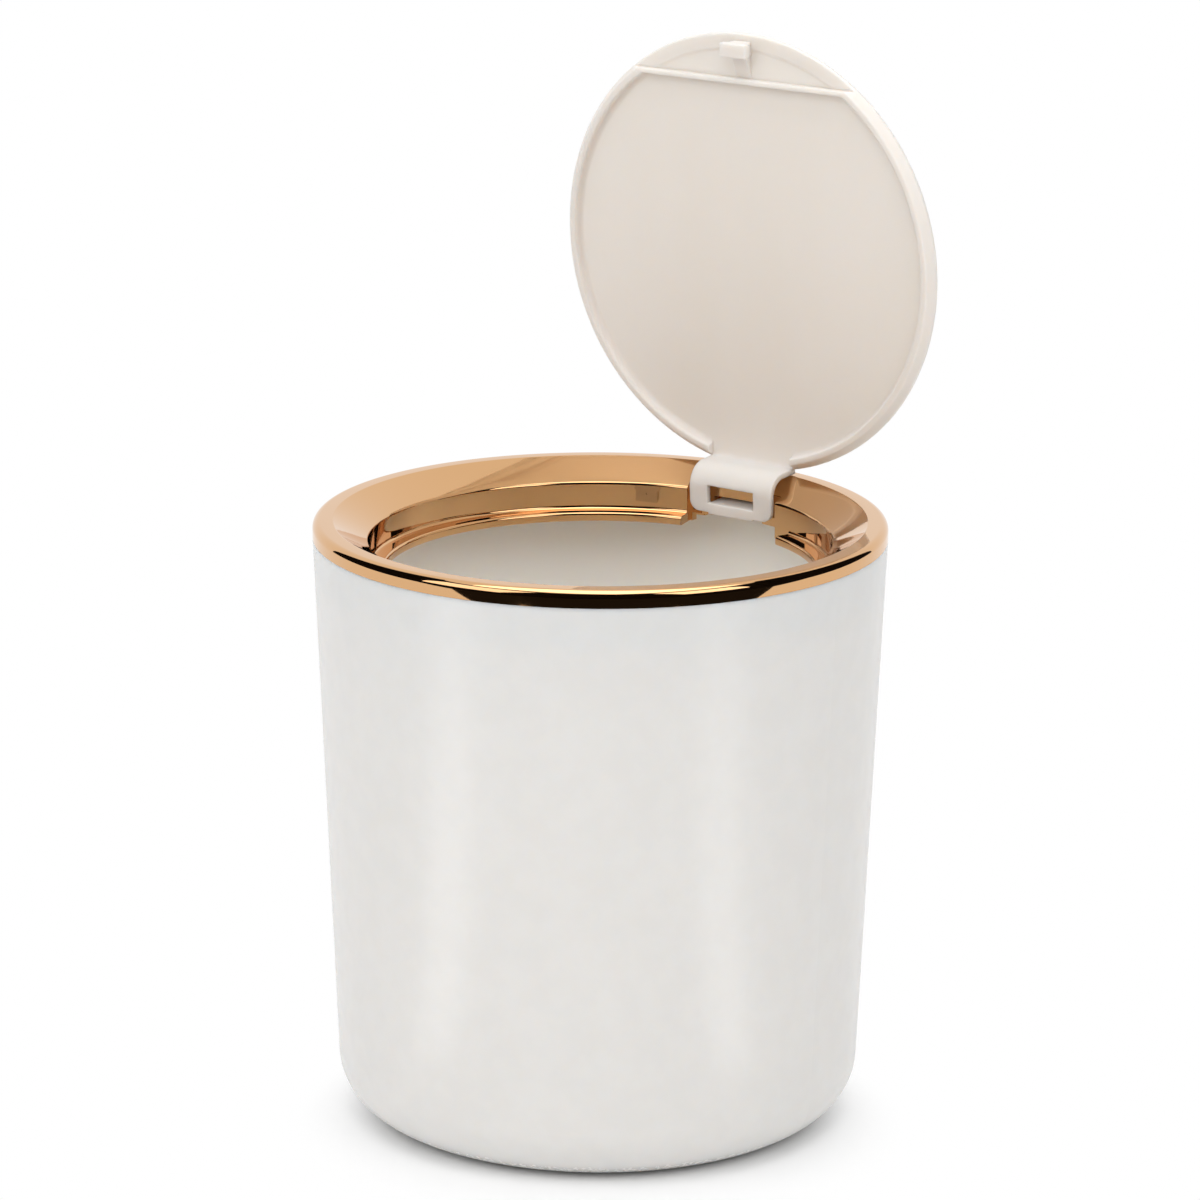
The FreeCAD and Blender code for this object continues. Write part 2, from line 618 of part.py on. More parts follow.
def make_slider():
    body = new_body("latch_slider")
    half = d.slider_width / 2
    block = rectangle(new_sketch(body, "block", "XY_Plane", slider_bottom),
                      -half, slider_front, half, slider_back)
    extrude(body, "Pad", block, d.slider_height)
    jaw_inner = d.hook_head_width / 2 + d.jaw_gap
    jaw_outer = jaw_inner + d.jaw_thick
    for side, left, right in (("left", -jaw_outer, -jaw_inner), ("right", jaw_inner, jaw_outer)):
        jaw = rectangle(new_sketch(body, f"{side}_jaw", "XY_Plane", cradle_top),
                        left, slider_front + d.slot_gap, right, slider_back - d.slot_gap)
        extrude(body, "Pad", jaw, d.jaw_height)
    well = circle(new_sketch(body, "spring_well", "XY_Plane", slider_bottom),
                  ZERO, -hook_distance, d.coil_radius + d.coil_wire / 2 + d.coil_room)
    extrude(body, "Pocket", well, coil_top - slider_bottom, backwards=True)

    # The cam track is a shallow pocket round a heart-shaped island, in shares of the track's size.
    low = wire_tip - d.track_margin
    height = d.slider_travel + d.wire_radius + d.track_margin * 2
    track = new_sketch(body, "cam_track", "XZ_Plane", -slider_back)
    rectangle(track, -d.track_width / 2, low, d.track_width / 2, low + height)
    heart_shares = [(-0.12, 0.36), (0.18, 0.36), (0.27, 0.6), (0.07, 0.5), (-0.12, 0.56)]
    outline(track, [(d.track_width * across, low + height * up) for across, up in heart_shares])
    extrude(body, "Pocket", track, d.track_depth, backwards=True)
    return body


def make_housing():
    body = new_body("latch_housing")
    box = rectangle(new_sketch(body, "box", "XY_Plane", housing_bottom),
                    -housing_half, housing_front, housing_half, cover_front)
    extrude(body, "Pad", box, lip_bottom - housing_bottom)
    flange = rectangle(new_sketch(body, "flange", "XY_Plane", screw_seat),
                       -d.flange_width / 2, -flange_reach, d.flange_width / 2, housing_front + d.latch_wall)
    extrude(body, "Pad", flange, d.flange_thick)
    cavity = rectangle(new_sketch(body, "cavity", "XY_Plane", lip_bottom + d.overrun),
                       -cavity_half, housing_front + d.latch_wall, cavity_half, cover_front + d.overrun)
    extrude(body, "Pocket", cavity, lip_bottom + d.overrun - housing_floor)
    for side, across in (("left", -d.screw_spread / 2), ("right", d.screw_spread / 2)):
        hole = circle(new_sketch(body, f"{side}_hole", "XY_Plane", lip_bottom + d.overrun),
                      across, -screw_reach, d.screw_radius + d.screw_play)
        extrude(body, "Pocket", hole, d.flange_thick + d.overrun * 2)
    return body


def make_cover():
    body = new_body("latch_cover")
    plate_top = screw_seat
    plate = rectangle(new_sketch(body, "plate", "XY_Plane", housing_bottom),
                      -housing_half, cover_front, housing_half, cover_back)
    extrude(body, "Pad", plate, plate_top - housing_bottom)
    tab_inner = housing_half + d.snap_gap
    tab_outer = tab_inner + d.cover_tab_thick
    tab_low = (housing_bottom + plate_top - d.cover_tab_height) / 2
    for side, left, right in (("left", -tab_outer, -tab_inner), ("right", tab_inner, tab_outer)):
        tab = rectangle(new_sketch(body, f"{side}_tab", "XY_Plane", tab_low),
                        left, cover_front - d.cover_tab, right, cover_back)
        extrude(body, "Pad", tab, d.cover_tab_height)
        near, far = (left, ZERO) if side == "left" else (ZERO, right)
        root = rectangle(new_sketch(body, f"{side}_root", "XY_Plane", tab_low),
                         near, cover_front + d.snap_gap, far, cover_back)
        extrude(body, "Pad", root, d.cover_tab_height)
    groove = rectangle(new_sketch(body, "groove", "XZ_Plane", -cover_front),
                       -d.track_width / 2, wire_pivot - d.track_margin,
                       d.track_width / 2, wire_tip + d.wire_bend + d.track_margin)
    extrude(body, "Pocket", groove, d.wire_groove_depth)
    pivot = circle(new_sketch(body, "pivot_hole", "XZ_Plane", -cover_front),
                   ZERO, wire_pivot, d.wire_radius + d.wire_play)
    extrude(body, "Pocket", pivot, d.cover_thick + d.overrun)
    return body


def tube(path, radius):
    """A round wire along a wire of straight runs and arcs that meet in line."""
    start = path.OrderedEdges[0]
    heading = start.tangentAt(start.FirstParameter)
    section = Part.Wire(Part.Circle(start.valueAt(start.FirstParameter), heading, radius).toShape())
    return path.makePipeShell([section], True, False)


def rounded_path(corners, radius):
    """Straight runs through the corners, with an arc of one radius at each inner corner."""
    edges = []
    here = corners[0]
    for before, corner, after in zip(corners, corners[1:], corners[2:]):
        back = (before - corner).normalize()
        ahead = (after - corner).normalize()
        half_turn = back.getAngle(ahead) / 2
        cut = radius / math.tan(half_turn)
        inward = (back + ahead).normalize()
        middle = corner + inward * (radius / math.sin(half_turn) - radius)
        edges.append(Part.LineSegment(here, corner + back * cut).toShape())
        edges.append(Part.Arc(corner + back * cut, middle, corner + ahead * cut).toShape())
        here = corner + ahead * cut
    edges.append(Part.LineSegment(here, corners[-1]).toShape())
    return Part.Wire(edges)


def arc_from(start, heading, end):
    """The arc that leaves a point along a heading and ends at another point."""
    chord = end - start
    along = Vector(chord).normalize()
    aside = heading - along * heading.dot(along)
    lean = heading.getAngle(along)
    middle = start + chord / 2 + aside.normalize() * (chord.Length / 2 * math.tan(lean / 2))
    return Part.Arc(start, middle, end).toShape()


def biarc(start, heading, end, arrival):
    """Two arcs that leave a point along a heading and reach another along its own."""
    chord = end - start
    both = heading + arrival
    spread = 2 * (1 - heading.dot(arrival))
    reach = (math.sqrt(chord.dot(both) ** 2 + spread * chord.dot(chord)) - chord.dot(both)) / spread
    joint = (start + heading * reach + end - arrival * reach) / 2
    first = arc_from(start, heading, joint)
    return [first, arc_from(joint, first.tangentAt(first.LastParameter), end)]


def helix_edges(place, slope, turns):
    """A helix as pairs of arcs, two pairs to a half turn. place and slope are functions of the turn."""
    edges = []
    pairs = math.ceil(turns * 4)
    for pair in range(pairs):
        here, there = turns * pair / pairs, turns * (pair + 1) / pairs
        edges += biarc(place(here), slope(here).normalize(), place(there), slope(there).normalize())
    return edges


def least_gap(path, radius, pitch):
    """Least clear gap between the turns of a wound wire, measured on points along it."""
    points = path.discretize(Distance=radius / 2)
    apart = round(pitch * 2 / (radius / 2))
    gaps = [
        (points[i] - points[j]).Length
        for i in range(0, len(points), 2)
        for j in range(i + apart, len(points), 2)
    ]
    return min(gaps) - radius * 2


def wound(label, path, radius, pitch):
    """A wound wire as a solid of its own."""
    piece = doc.addObject("Part::Feature", label)
    piece.Label = label
    piece.Shape = tube(path, radius)
    print(f"{label}: least gap {least_gap(path, radius, pitch):.2f} mm, length {path.Length:.1f} mm")
    return piece


def make_lid_spring():
    """Torsion spring on the hinge pin: one leg up to the ring's stop, one leg under the lid's tongue."""
    radius, pitch = d.spring_radius.value, d.spring_pitch.value
    axis = Vector(0, hinge_reach.value, hinge_height.value)
    turns = SPRING_TURNS + d.open_angle.value / 360
    left = -pitch * turns / 2

    def place(turn):
        angle = -2 * math.pi * turn
        return axis + Vector(left + pitch * turn, radius * math.cos(angle), radius * math.sin(angle))

    def slope(turn):
        angle = -2 * math.pi * turn
        return Vector(pitch / (2 * math.pi), radius * math.sin(angle), -radius * math.cos(angle))

    coil = helix_edges(place, slope, turns)
    arrival = slope(0).normalize()
    departure = slope(turns).normalize()
    stop_leg = (notch_top - d.ring_edge - hinge_height).value
    legs = [
        Part.LineSegment(place(0) - arrival * stop_leg, place(0)).toShape(),
        Part.LineSegment(place(turns), place(turns) + departure * d.spring_leg.value).toShape(),
    ]
    path = Part.Wire([legs[0]] + coil + [legs[1]])
    return wound("lid_spring", path, d.spring_wire.value / 2, pitch)


def make_latch_spring():
    """Compression spring from the housing's floor into the slider's well."""
    radius = d.coil_radius.value
    rise = d.coil_length.value - d.coil_wire.value - 2 * d.spring_seat.value
    pitch = rise / COIL_TURNS
    foot = Vector(0, -hook_distance.value, housing_floor.value + d.spring_seat.value + d.coil_wire.value / 2)

    def place(turn):
        angle = 2 * math.pi * turn
        return foot + Vector(radius * math.cos(angle), radius * math.sin(angle), pitch * turn)

    def slope(turn):
        angle = 2 * math.pi * turn
        return Vector(-radius * math.sin(angle), radius * math.cos(angle), pitch / (2 * math.pi))

    path = Part.Wire(helix_edges(place, slope, COIL_TURNS))
    return wound("latch_spring", path, d.coil_wire.value / 2, pitch)


def make_cam_pin():
    """Bent wire: one end turns in the cover, the other follows the slider's cam track."""
    groove = (cover_front + d.wire_groove_depth / 2).value
    outer_end = (cover_back - d.wire_play).value
    inner_end = (slider_back - d.track_depth + d.slider_gap).value
    pivot, tip = wire_pivot.value, wire_tip.value
    corners = [Vector(0, outer_end, pivot), Vector(0, groove, pivot), Vector(0, groove, tip),
               Vector(0, inner_end, tip)]
    piece = doc.addObject("Part::Feature", "latch_cam_pin")
    piece.Label = "latch_cam_pin"
    piece.Shape = tube(rounded_path(corners, d.wire_bend.value), d.wire_radius.value)
    lean = FreeCAD.Rotation(Vector(0, 1, 0), -d.wire_tilt.value)
    piece.Placement = FreeCAD.Placement(Vector(0, 0, 0), lean, corners[0])
    return piece


def make_screws():
    """Two screws driven up through the flange into the ring's bosses."""
    screws = []
    for side, across in (("left", -d.screw_spread / 2), ("right", d.screw_spread / 2)):
        rods = []
        for name, radius, start, length in (
            ("head", d.screw_head_radius, screw_seat - d.screw_head_height, d.screw_head_height),
            ("shank", d.screw_radius, screw_seat, d.screw_length),
        ):
            rod = doc.addObject("Part::Cylinder", f"{side}_screw_{name}")
            rod.setExpression("Radius", radius.text)
            rod.setExpression("Height", length.text)
            rod.setExpression("Placement.Base.x", across.text)
            rod.setExpression("Placement.Base.y", (-screw_reach).text)
            rod.setExpression("Placement.Base.z", start.text)
            rods.append(rod)
        screw = doc.addObject("Part::MultiFuse", f"{side}_screw")
        screw.Shapes = rods
        screws.append(screw)
    pair = doc.addObject("Part::Compound", "latch_screws")
    pair.Label = "latch_screws"
    pair.Links = screws
    doc.recompute()
    return pair


def check(pieces):
    """Stops on any failed object, cut that cuts nothing, or piece that is not sound."""
    for item in doc.Objects:
        assert not {"Invalid", "Error"} & set(item.State), f"{item.Name} failed"
        if item.TypeId in ("PartDesign::Pocket", "PartDesign::Groove"):
            assert item.Shape.Volume < item.BaseFeature.Shape.Volume, f"{item.Name} cuts nothing"
    for piece in pieces:
        assert not piece.Shape.isNull() and piece.Shape.isValid(), f"{piece.Label} is not sound"
        print(f"{piece.Label}: {len(piece.Shape.Solids)} solid, {piece.Shape.Volume / 1000:.2f} cm3")


PIECES = [
    make_can(), make_ring(), make_hinge_pin(), make_lid(), make_lid_spring(), make_housing(), make_cover(),
    make_slider(), make_cam_pin(), make_latch_spring(), make_screws(),
]
doc.recompute()
check(PIECES)
os.makedirs("parts", exist_ok=True)
for piece in PIECES:
    piece.Shape.exportStep(f"parts/{piece.Label}.step")
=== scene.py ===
# %% [markdown]
# # A desktop bin with a press-open lid
# The solid model of the bin comes in as a fixed frame: a white can, a plated ring that plugs into it, a flip lid on
# a hidden hinge, and a small latch under the ring. Blender never moves those pieces. It gives them their finishes,
# adds the fine marks that moulding leaves, and takes the picture.

# %% Load the frame
import json
import math

import bmesh
import bpy
from mathutils import Matrix, Quaternion, Vector


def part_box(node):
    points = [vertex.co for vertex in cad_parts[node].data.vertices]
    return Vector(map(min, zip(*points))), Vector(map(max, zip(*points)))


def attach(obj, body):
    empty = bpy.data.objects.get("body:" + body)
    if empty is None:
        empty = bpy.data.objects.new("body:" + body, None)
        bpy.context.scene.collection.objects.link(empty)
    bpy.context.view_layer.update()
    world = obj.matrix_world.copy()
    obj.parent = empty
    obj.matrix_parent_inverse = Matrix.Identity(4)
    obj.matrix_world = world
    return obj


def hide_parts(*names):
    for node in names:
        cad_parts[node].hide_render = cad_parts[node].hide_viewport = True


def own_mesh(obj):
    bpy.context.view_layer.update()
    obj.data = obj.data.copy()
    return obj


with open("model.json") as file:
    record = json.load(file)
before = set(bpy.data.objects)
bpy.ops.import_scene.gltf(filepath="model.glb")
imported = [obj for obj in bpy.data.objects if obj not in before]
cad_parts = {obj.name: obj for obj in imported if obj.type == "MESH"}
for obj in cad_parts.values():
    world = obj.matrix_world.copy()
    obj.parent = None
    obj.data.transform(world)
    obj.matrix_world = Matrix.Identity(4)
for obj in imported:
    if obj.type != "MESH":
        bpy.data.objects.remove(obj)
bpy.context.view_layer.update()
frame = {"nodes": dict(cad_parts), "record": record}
nodes = frame["nodes"]
MM = 0.001
print("pieces in the frame:", ", ".join(sorted(nodes)))

# %% [markdown]
# ## The camera
# The photograph was fitted once with a pinhole camera, with the can's rim as the ruler. That gave a long lens, a
# look down of 15 degrees, and a camera that stands 37 degrees to the right of the bin's front. A camera aimed by
# hand would be off by a few degrees, and every ellipse of the rim would show it.

# %% Camera
AIM = Vector((0, 0, 146.8)) * MM
DISTANCE = 1403.8 * MM
TURN, LOOK_DOWN, ROLL = math.radians(36.78), math.radians(15.07), math.radians(0.307)
SENSOR = 36.0
FOCAL_PIXELS, IMAGE_PIXELS = 5026.9, 1200


def around(turn, rise):
    """Unit vector from the bin towards a place, by its turn from the front and its rise above the table."""
    return Vector((math.sin(turn) * math.cos(rise), -math.cos(turn) * math.cos(rise), math.sin(rise)))


lens = bpy.data.cameras.new("camera")
lens.sensor_width = SENSOR
lens.lens = FOCAL_PIXELS / IMAGE_PIXELS * SENSOR
camera = bpy.data.objects.new("camera", lens)
bpy.context.scene.collection.objects.link(camera)
camera.location = AIM + around(TURN, LOOK_DOWN) * DISTANCE
aim = (AIM - camera.location).to_track_quat("-Z", "Y")
camera.rotation_euler = (aim @ Quaternion((0, 0, 1), ROLL)).to_euler()
bpy.context.scene.camera = camera
bpy.context.scene.view_settings.view_transform = "Standard"
print(f"camera: {lens.lens:.1f} mm lens, {DISTANCE:.2f} m away")

# %% [markdown]
# ## Writing shaders as sums
# A finish is a net of nodes, and a net written node by node is hard to read. So one small class stands for an
# output socket and lets it be added, multiplied and subtracted like a number. Any other node comes from one method
# that takes the node's type, its settings and what goes into its sockets.

# %% Sockets and nets
class Socket:
    """One output of a shader node. Sums and products of it add Math nodes to the net."""

    def __init__(self, net, output):
        self.net, self.output = net, output

    def beside(self, name):
        """Another output of the same node."""
        return Socket(self.net, self.output.node.outputs[name])

    def maths(self, operation, *terms):
        return self.net.node("ShaderNodeMath", {"operation": operation}, dict(enumerate(terms)))

    def __add__(self, other):
        return self.maths("ADD", self, other)

    def __sub__(self, other):
        return self.maths("SUBTRACT", self, other)

    def __rsub__(self, other):
        return self.maths("SUBTRACT", other, self)

    def __mul__(self, other):
        return self.maths("MULTIPLY", self, other)

    def __truediv__(self, other):
        return self.maths("DIVIDE", self, other)

    def __rtruediv__(self, other):
        return self.maths("DIVIDE", other, self)

    __radd__, __rmul__ = __add__, __mul__

    def least(self, other):
        return self.maths("MINIMUM", self, other)

    def root(self):
        return self.maths("SQRT", self)

    def rise(self, low, high):
        """0 below low, 1 above high, and a smooth step between them."""
        inputs = {"Value": self, "From Min": low, "From Max": high}
        return self.net.node("ShaderNodeMapRange", {"interpolation_type": "SMOOTHSTEP"}, inputs)


class Net:
    """A node tree that is emptied and built up again."""

    def __init__(self, tree):
        self.tree = tree
        tree.nodes.clear()

    def node(self, kind, settings=None, inputs=None):
        made = self.tree.nodes.new(kind)
        for name, value in (settings or {}).items():
            setattr(made, name, value)
        for key, value in (inputs or {}).items():
            if isinstance(value, Socket):
                self.tree.links.new(value.output, made.inputs[key])
            else:
                made.inputs[key].default_value = value
        return Socket(self, made.outputs[0]) if made.outputs else None

    def mix(self, factor, first, second):
        """A colour between two colours. A Mix node's colour sockets share their names, so they go by number."""
        made = self.node("ShaderNodeMix", {"data_type": "RGBA"}, {0: factor, 6: first, 7: second})
        return Socket(self, made.output.node.outputs[2])


# %% [markdown]
# ## Reading a place on a piece
# Every pattern below hangs on Object coordinates, which are metres in the bin's own frame, so it stays on its piece
# when the lid turns or the ring lifts. Cloudy noise is the base of most of them. Stretched along one axis it turns
# into streaks.

# %% Places and noise
def place_of(net):
    return net.node("ShaderNodeTexCoord").beside("Object")


def axes(net, vector):
    """The three numbers of a vector."""
    apart = net.node("ShaderNodeSeparateXYZ", {}, {0: vector})
    return apart, apart.beside("Y"), apart.beside("Z")


def cloud(net, scale, detail=2.0, stretch=(1, 1, 1)):
    """Noise of about so many lumps to the metre, 0 to 1."""
    where = net.node("ShaderNodeMapping", {}, {"Vector": place_of(net), "Scale": stretch})
    return net.node("ShaderNodeTexNoise", {}, {"Vector": where, "Scale": scale, "Detail": detail})


def new_net(name):
    """A new material and its emptied net."""
    material = bpy.data.materials.new(name)
    material.use_nodes = True
    return material, Net(material.node_tree)


def piece_from(name, shape, material):
    """An object at the origin from a finished bmesh, which is freed."""
    mesh = bpy.data.meshes.new(name)
    shape.to_mesh(mesh)
    shape.free()
    mesh.materials.append(material)
    piece = bpy.data.objects.new(name, mesh)
    bpy.context.scene.collection.objects.link(piece)
    return piece


# %% [markdown]
# ## Floor and surroundings
# The bin was photographed on a white sheet that runs up behind it, and the light on that sheet was strong enough to
# burn it out to pure white a hand's breadth from the bin. Here the sheet is a wide floor. Near the bin the camera
# sees it as lit, with the bin's soft shadow, and further out it is white by itself. More lamps would whiten it too,
# but they would bleach the bin. The world is white where it is seen or mirrored, and dimmer as a source of light.

# %% Floor and world
FLOOR_HALF = 6.0
SHADE_FROM, SHADE_TO, SHADE_SHIFT = 0.054, 0.088, 0.022
SKY_LIGHT = 0.46
WHITE, PALE = (1, 1, 1, 1), (0.9, 0.9, 0.9, 1)


def seen_or_mirrored(net):
    """1 for rays that come from the camera, a mirror or glass, and 0 for rays that only carry light."""
    path = net.node("ShaderNodeLightPath")
    seen = path.beside("Is Camera Ray") + path.beside("Is Glossy Ray") + path.beside("Is Transmission Ray")
    return seen.least(1)


white_sheet, net = new_net("white_sheet")
x, y, _ = axes(net, place_of(net))
shade_middle = around(TURN, 0) * SHADE_SHIFT
x, y = x - shade_middle.x, y - shade_middle.y
far_out = (x * x + y * y).root().rise(SHADE_FROM, SHADE_TO)
lit = net.node("ShaderNodeBsdfDiffuse", {}, {"Color": PALE})
own = net.node("ShaderNodeEmission", {}, {"Color": WHITE})
sheet = net.node("ShaderNodeMixShader", {}, {0: seen_or_mirrored(net) * far_out, 1: lit, 2: own})
net.node("ShaderNodeOutputMaterial", {}, {"Surface": sheet})
shape = bmesh.new()
bmesh.ops.create_grid(shape, x_segments=1, y_segments=1, size=FLOOR_HALF)
piece_from("floor", shape, white_sheet)

world = bpy.data.worlds.new("studio")
bpy.context.scene.world = world
world.use_nodes = True
net = Net(world.node_tree)
lighting = net.node("ShaderNodeBackground", {}, {"Color": WHITE, "Strength": SKY_LIGHT})
backdrop = net.node("ShaderNodeBackground", {}, {"Color": WHITE, "Strength": 1.0})
sky = net.node("ShaderNodeMixShader", {}, {0: seen_or_mirrored(net), 1: lighting, 2: backdrop})
net.node("ShaderNodeOutputWorld", {}, {"Surface": sky})
print(f"white floor, {2 * FLOOR_HALF:.0f} m wide, and a white world")

# %% [markdown]
# ## The dark room in front
# Bright plating shows whatever stands around it. The photographer's side of the studio was dark, and the ring's
# front shows it as a black band with the two soft boxes cut into it. A dark screen that only mirrors can see stands
# for that room: it starts on the floor in front of the sheet and curves up behind the lamps. It takes no light away
# from the bin and never shows in the picture itself.

# %% Studio helpers
UP = Vector((0, 0, 1))


def only_mirrored(obj):
    """Hide a thing of the studio from every ray but those that leave a shiny surface."""
    obj.visible_camera = obj.visible_diffuse = obj.visible_shadow = False
    obj.visible_transmission = obj.visible_volume_scatter = False


def turn_round(shape, angle):
    """Turn all of a shape about the bin's axis."""
    bmesh.ops.rotate(shape, cent=(0, 0, 0), matrix=Matrix.Rotation(angle, 3, "Z"), verts=shape.verts[:])


def sweep_round(shape, angle, steps, middle=(0, 0, 0), **options):
    """Spin all of a shape about an upright axis."""
    bmesh.ops.spin(shape, geom=shape.verts[:] + shape.edges[:], cent=middle, axis=UP, angle=angle, steps=steps,
                   **options)


def strip_in_front(name, half_width, near, far, lift, turn, material):
    """A flat rectangle just over the floor, between two distances from the bin, that only mirrors see."""
    shape = bmesh.new()
    bmesh.ops.create_grid(shape, x_segments=1, y_segments=1, size=1.0)
    bmesh.ops.scale(shape, vec=(half_width, (far - near) / 2, 1), verts=shape.verts[:])
    bmesh.ops.translate(shape, vec=(0, -(far + near) / 2, lift), verts=shape.verts[:])
    turn_round(shape, turn)
    only_mirrored(piece_from(name, shape, material))


# %% Dark screen
SCREEN_REACH = 2.6
SCREEN_FIRST, SCREEN_LAST, SCREEN_TOP = math.radians(-128), math.radians(132), math.radians(60)
ROUND_STEPS, RISE_STEPS = 48, 10
SHEET_FRONT, SHEET_SKEW = 0.39, math.radians(6)
DARK, DARK_LIFT = (0.012, 0.010, 0.009, 1), 0.002

dark_cloth, net = new_net("dark_cloth")
cloth = net.node("ShaderNodeBsdfDiffuse", {}, {"Color": DARK})
net.node("ShaderNodeOutputMaterial", {}, {"Surface": cloth})
shape = bmesh.new()
corner = shape.verts.new(around(TURN + SCREEN_FIRST, 0) * SCREEN_REACH)
bmesh.ops.spin(shape, geom=[corner], cent=(0, 0, 0), axis=corner.co.cross(UP), angle=SCREEN_TOP, steps=RISE_STEPS)
sweep_round(shape, SCREEN_LAST - SCREEN_FIRST, ROUND_STEPS)
only_mirrored(piece_from("dark_screen", shape, dark_cloth))
strip_in_front("dark_floor", SCREEN_REACH, SHEET_FRONT, SCREEN_REACH, DARK_LIFT, TURN + SHEET_SKEW, dark_cloth)
print(f"dark room from {SHEET_FRONT} m to {SCREEN_REACH} m in front of the bin")

# %% [markdown]
# ## Lamps
# Two soft boxes stand beside the camera and one hangs overhead, and the plated ring shows them as bright strips. A
# fill above the camera evens out the can's middle and reaches into its mouth. The plating must not show that one.

# %% Soft boxes
BOX_DISTANCE = 1.5
TOP_PLACE = Vector((0, 0, 1.7))


def soft_box(name, place, size, brightness):
    """A rectangular lamp that faces the middle of the bin. Its brightness is the white that a mirror shows of it."""
    lamp = bpy.data.lights.new(name, "AREA")
    lamp.shape = "RECTANGLE"
    lamp.size, lamp.size_y = size
    lamp.energy = brightness * math.pi * size[0] * size[1]
    box = bpy.data.objects.new(name, lamp)
    bpy.context.scene.collection.objects.link(box)
    box.location = place
    box.rotation_euler = (AIM - place).to_track_quat("-Z", "Y").to_euler()
    box.visible_camera = False
    print(f"{name}: {size[0]} x {size[1]} m, {lamp.energy:.1f} W")
    return box


def beside_camera(turn, rise):
    """A place round the bin, by degrees from the camera's side and above the table."""
    return AIM + around(TURN + math.radians(turn), math.radians(rise)) * BOX_DISTANCE


soft_box("left_box", beside_camera(turn=-56, rise=34), size=(0.92, 1.0), brightness=1.8)
soft_box("right_box", beside_camera(turn=47, rise=38), size=(0.72, 0.85), brightness=2.2)
soft_box("top_box", TOP_PLACE, size=(1.3, 1.3), brightness=2.0)
fill = soft_box("front_fill", beside_camera(turn=-4, rise=48), size=(0.9, 0.9), brightness=2.0)
fill.visible_glossy = False

# %% [markdown]
# ## Light pooled on the sheet
# The camera looks down, so the can's upright wall mirrors the sheet in front of it and not the lamps. The sheet is
# brightest below each soft box, and the satin wall shows the two pools as upright bands. A wedge of the sheet under
# each box glows here, for mirrors only, like the dark room. A tongue of plain sheet reaches a little further forward,
# because the can's upper half mirrors that part, while the steeper plating looks beyond it into the dark.

# %% Pools of light
POOL_NEAR, POOL_FAR, POOL_LIFT = 0.13, 0.60, 0.004
POOL_GLOW, POOL_STEPS = 2.6, 6
POOL_TURNS = (("left_pool", -57, 17), ("right_pool", 46, 15))
TONGUE_HALF, TONGUE_FRONT, TONGUE_LIFT = 0.33, 0.60, 0.003


def glowing(name, strength):
    material, net = new_net(name)
    glow = net.node("ShaderNodeEmission", {}, {"Color": WHITE, "Strength": strength})
    net.node("ShaderNodeOutputMaterial", {}, {"Surface": glow})
    return material


sheet_glow = glowing("sheet_glow", 1.0)
strip_in_front("sheet_tongue", TONGUE_HALF, SHEET_FRONT, TONGUE_FRONT, TONGUE_LIFT, TURN, sheet_glow)

pool_light = glowing("pool_light", POOL_GLOW)
for name, turn, spread in POOL_TURNS:
    outwards = around(TURN + math.radians(turn - spread / 2), 0)
    shape = bmesh.new()
    shape.edges.new([shape.verts.new(outwards * reach + UP * POOL_LIFT) for reach in (POOL_NEAR, POOL_FAR)])
    sweep_round(shape, math.radians(spread), POOL_STEPS)
    only_mirrored(piece_from(name, shape, pool_light))
    print(f"{name}: {spread} degrees wide")

# %% [markdown]
# ## White mouldings
# The can and the lid are satin plastic. Under a lens such a surface has a fine grain from the etched mould, its gloss
# changes a little from place to place, and some light goes into the plastic and comes out again nearby. Noise in the
# bump and in the roughness gives the first two, and a constant subsurface share the third. Moulded edges are never
# knife sharp, and a Bevel node bends the light over them as a small round would. The can's inner faces were lit
# through the wall and look warmer, so that light is painted into the colour: a brighter, warmer ivory wherever the
# surface faces the axis or up.

# %% Surfaces and colours
TRANSLUCENT = {"Subsurface Weight": 1.0, "Subsurface Radius": (1.0, 0.88, 0.76), "Subsurface Scale": 0.003}
METAL = {"Metallic": 1.0}
GRAIN_SCALE, GRAIN_DEPTH = 2600, 0.000003
PATCHY = (0.3, 0.7)
EDGE_SAMPLES = 6


def rgb(red, green, blue):
    """A colour given as a designer reads it off a screen, 0 to 255, as the linear light that shaders work in."""
    def linear(level):
        share = level / 255
        return share / 12.92 if share <= 0.04045 else ((share + 0.055) / 1.055) ** 2.4
    return (linear(red), linear(green), linear(blue), 1)


def surface(net, height, depth, inputs, edge=0.0):
    """A principled surface with a bump of a real depth in metres, and edges that look rounded by so much."""
    relief = {"Height": height, "Distance": depth, "Strength": 1.0}
    if edge:
        relief["Normal"] = net.node("ShaderNodeBevel", {"samples": EDGE_SAMPLES}, {"Radius": edge})
    bump = net.node("ShaderNodeBump", {}, relief)
    shader = net.node("ShaderNodeBsdfPrincipled", {}, {"Normal": bump, **inputs})
    net.node("ShaderNodeOutputMaterial", {}, {"Surface": shader})


# %% Satin can
ON_AXIS = 0.000001
SCUFF_FROM, SCUFF_TO = 0.001, 0.006

